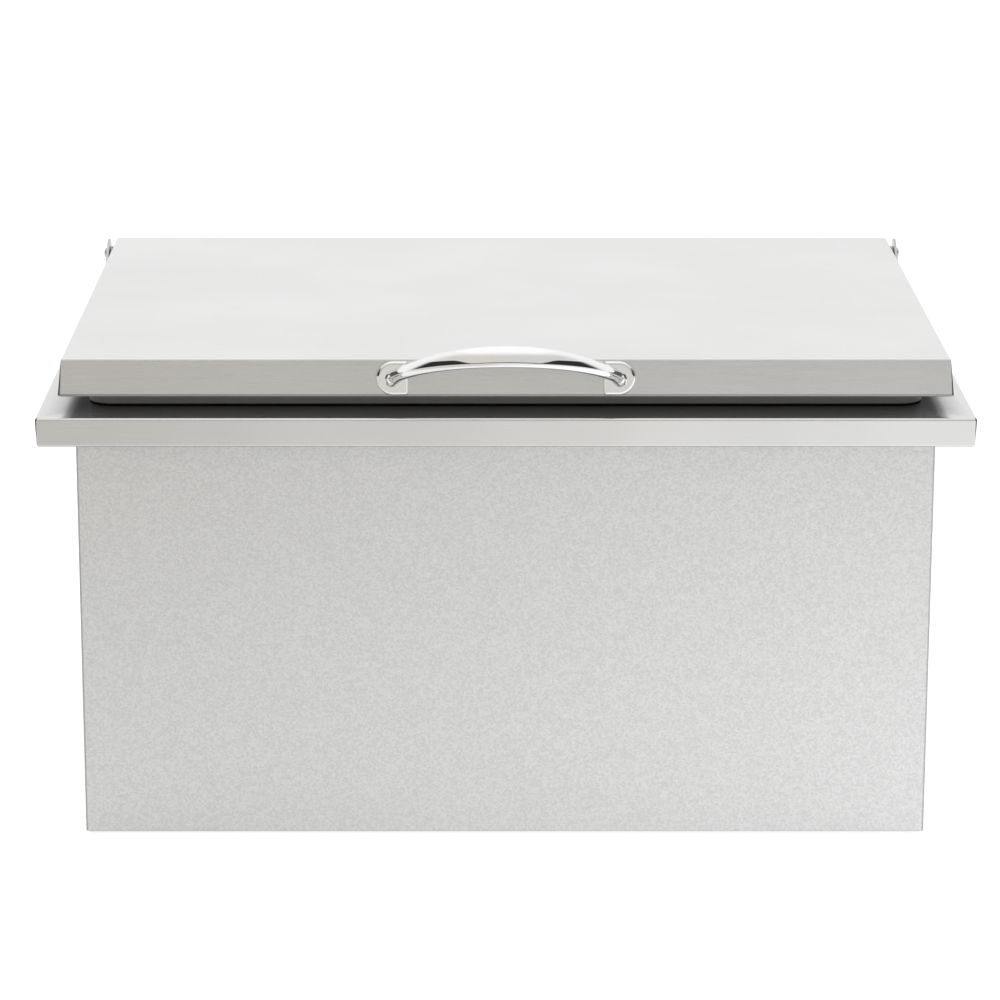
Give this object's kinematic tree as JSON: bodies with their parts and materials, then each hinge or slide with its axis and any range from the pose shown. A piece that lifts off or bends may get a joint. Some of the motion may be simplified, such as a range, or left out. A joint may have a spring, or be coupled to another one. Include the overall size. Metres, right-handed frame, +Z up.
{
  "type": "drop-in ice bin",
  "caption": "Insulated drop-in ice bin: flanged steel rim over a galvanised casing, coved tub with a floor drain, and a hinged insulated lid with a bow handle.",
  "frame": {"origin": "middle of the base's underside, on the plane the bin rests on", "axes": "+Z up towards the lid, -Y towards the handle at the front, +X to the right as seen from the front"},
  "size_m": [0.7108, 0.5444, 0.4011],
  "materials": {
    "lid_steel": "satin",
    "rim_steel": "satin",
    "tub_steel": "satin",
    "galvanised": "matte",
    "chrome": "polished",
    "fastener_steel": "gloss",
    "zinc_fastener": "satin",
    "brass": "satin",
    "rubber": "matte",
    "nylon": "satin",
    "foam": "matte"
  },
  "bodies": {
    "bin": {"base_pan": "galvanised", "shell_wrap": "galvanised", "back_panel": "galvanised", "foam_insulation": "foam", "ice_tub": "tub_steel", "rim_deck": "rim_steel", "curb_seal": "rubber", "drain_body": "brass", "drain_gasket": "rubber", "drain_washer": "zinc_fastener", "drain_locknut": "brass", "shell_rivet_left_1": "galvanised", "shell_rivet_left_2": "galvanised", "shell_rivet_left_3": "galvanised", "shell_rivet_right_1": "galvanised", "shell_rivet_right_2": "galvanised", "shell_rivet_right_3": "galvanised", "hinge_ear_left": "fastener_steel", "hinge_ear_right": "fastener_steel", "ear_screw_left_1": "fastener_steel", "ear_screw_left_2": "fastener_steel", "ear_screw_right_1": "fastener_steel", "ear_screw_right_2": "fastener_steel", "ear_nut_left_1": "fastener_steel", "ear_nut_left_2": "fastener_steel", "ear_nut_right_1": "fastener_steel", "ear_nut_right_2": "fastener_steel", "pivot_bush_left": "nylon", "pivot_bush_right": "nylon"},
    "lid": {"lid_pan": "lid_steel", "lid_liner": "lid_steel", "lid_foam": "foam", "lid_handle": "chrome", "handle_screw_left": "zinc_fastener", "handle_screw_right": "zinc_fastener", "handle_washer_left": "zinc_fastener", "handle_washer_right": "zinc_fastener", "pivot_bolt_left": "fastener_steel", "pivot_bolt_right": "fastener_steel", "pivot_nut_left": "fastener_steel", "pivot_nut_right": "fastener_steel"},
    "strainer": {"drain_strainer": "fastener_steel"}
  },
  "joints": [
    {"name": "lid_hinge", "type": "hinge", "parent": "bin", "child": "lid", "pos_m": [0, 0.22, 0.372], "axis": [-1, 0, 0], "range_deg": [0, 102]},
    {"name": "strainer_lift", "type": "slide", "parent": "bin", "child": "strainer", "axis": [0, 0, 1], "range_m": [0, 0.06]}
  ]
}
